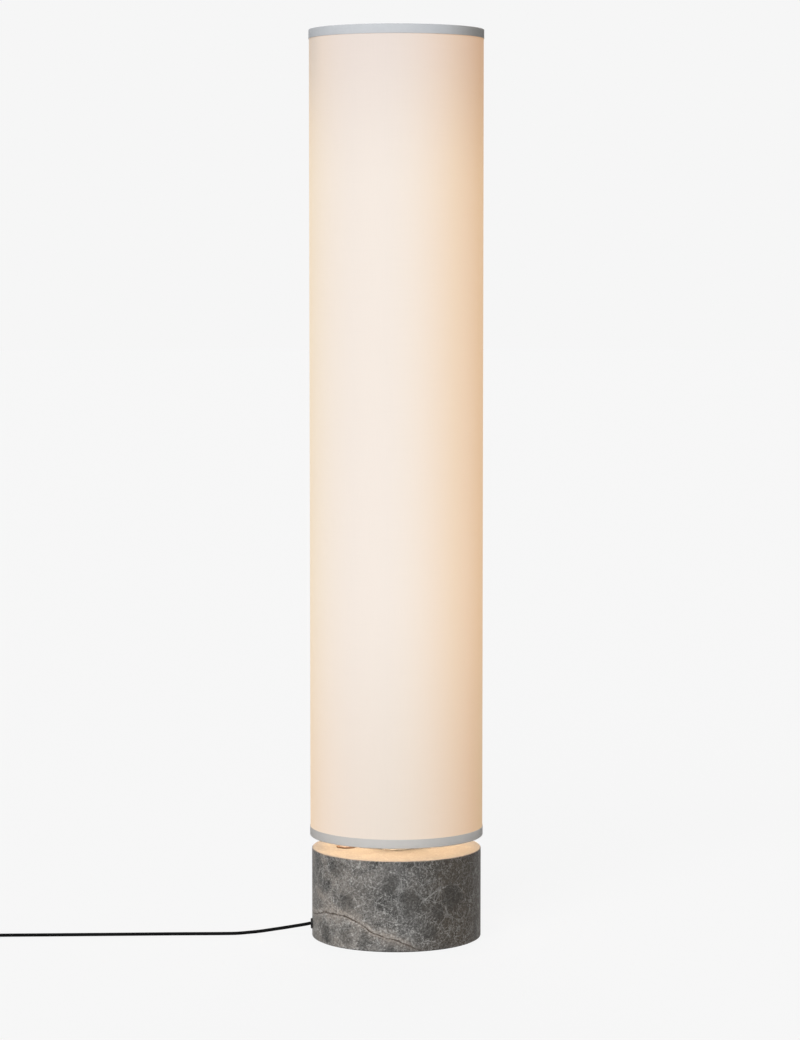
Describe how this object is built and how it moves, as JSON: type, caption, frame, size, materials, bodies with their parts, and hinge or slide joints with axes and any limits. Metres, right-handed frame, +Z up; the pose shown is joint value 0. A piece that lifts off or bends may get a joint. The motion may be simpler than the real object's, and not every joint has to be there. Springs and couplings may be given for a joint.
{
  "type": "column floor lamp",
  "caption": "Column floor lamp: round stone base, tall fabric drum shade standing clear of it, LED light column, push button and corded plug.",
  "frame": {"origin": "centre of the lamp's footprint on the floor", "axes": "+Z up along the column; -X towards the push button and the cord outlet"},
  "size_m": [0.7726, 0.272, 1.2],
  "materials": {
    "veined_stone": "honed grey stone with pale veins",
    "felt": "pressed black felt",
    "plate_steel": "black powder coat",
    "zinc_steel": "zinc plated",
    "brass": "plain machined brass",
    "bezel_bronze": "dark bronze finish",
    "cap_bronze": "satin bronze finish",
    "black_plastic": "fine moulded texture",
    "grey_plastic": "moulded",
    "white_plastic": "moulded",
    "terminal_plastic": "moulded",
    "cord_black": "smooth black cord jacket",
    "aluminium": "extruded, anodised",
    "board_white": "white solder mask",
    "led_yellow": "phosphor",
    "opal": "opal diffuser",
    "column_paint": "white powder coat",
    "liner_white": "translucent white sheet",
    "shade_cloth": "off-white plain weave",
    "rim_tape": "grey binding tape",
    "pin_metal": "nickel plated"
  },
  "bodies": {
    "lamp": {"stone_base": "veined_stone", "felt_ring": "felt", "cover_plate": "plate_steel", "cover_inserts": "brass", "cover_screws": "zinc_steel", "lamp_pipe": "zinc_steel", "pipe_washer": "zinc_steel", "pipe_nut": "zinc_steel", "cord_bush": "black_plastic", "bush_nut": "black_plastic", "cord_clamp": "black_plastic", "clamp_screws": "zinc_steel", "terminal_block": "terminal_plastic", "led_driver": "white_plastic", "driver_screws": "zinc_steel", "switch_bezel": "bezel_bronze", "switch_spring": "zinc_steel", "switch_nut": "zinc_steel", "switch_body": "grey_plastic", "switch_blades": "brass", "mains_lead": "cord_black", "switch_lead": "cord_black", "led_lead": "cord_black", "column_foot": "column_paint", "light_carrier": "aluminium", "led_boards": "board_white", "led_chips": "led_yellow", "carrier_screws": "zinc_steel", "diffuser_tube": "opal", "top_cap": "column_paint", "top_stud": "zinc_steel", "finial_nut": "column_paint", "shade_liner": "liner_white", "shade_fabric": "shade_cloth", "top_tape": "rim_tape", "bottom_tape": "rim_tape", "top_spider": "zinc_steel", "bottom_spider": "zinc_steel", "cord_lead": "cord_black", "cord_coil": "cord_black", "cord_tail": "cord_black", "cord_tie": "black_plastic", "plug_body": "black_plastic", "plug_pins": "pin_metal"},
    "button": {"switch_cap": "cap_bronze", "switch_clip": "zinc_steel"}
  },
  "joints": [
    {"name": "button_press", "type": "slide", "parent": "lamp", "child": "button", "axis": [0, 0, -1], "range_m": [0, 0.0012], "stiffness_N_per_m": 1500, "springref_m": -0.0008, "deforming": ["switch_spring"]}
  ]
}
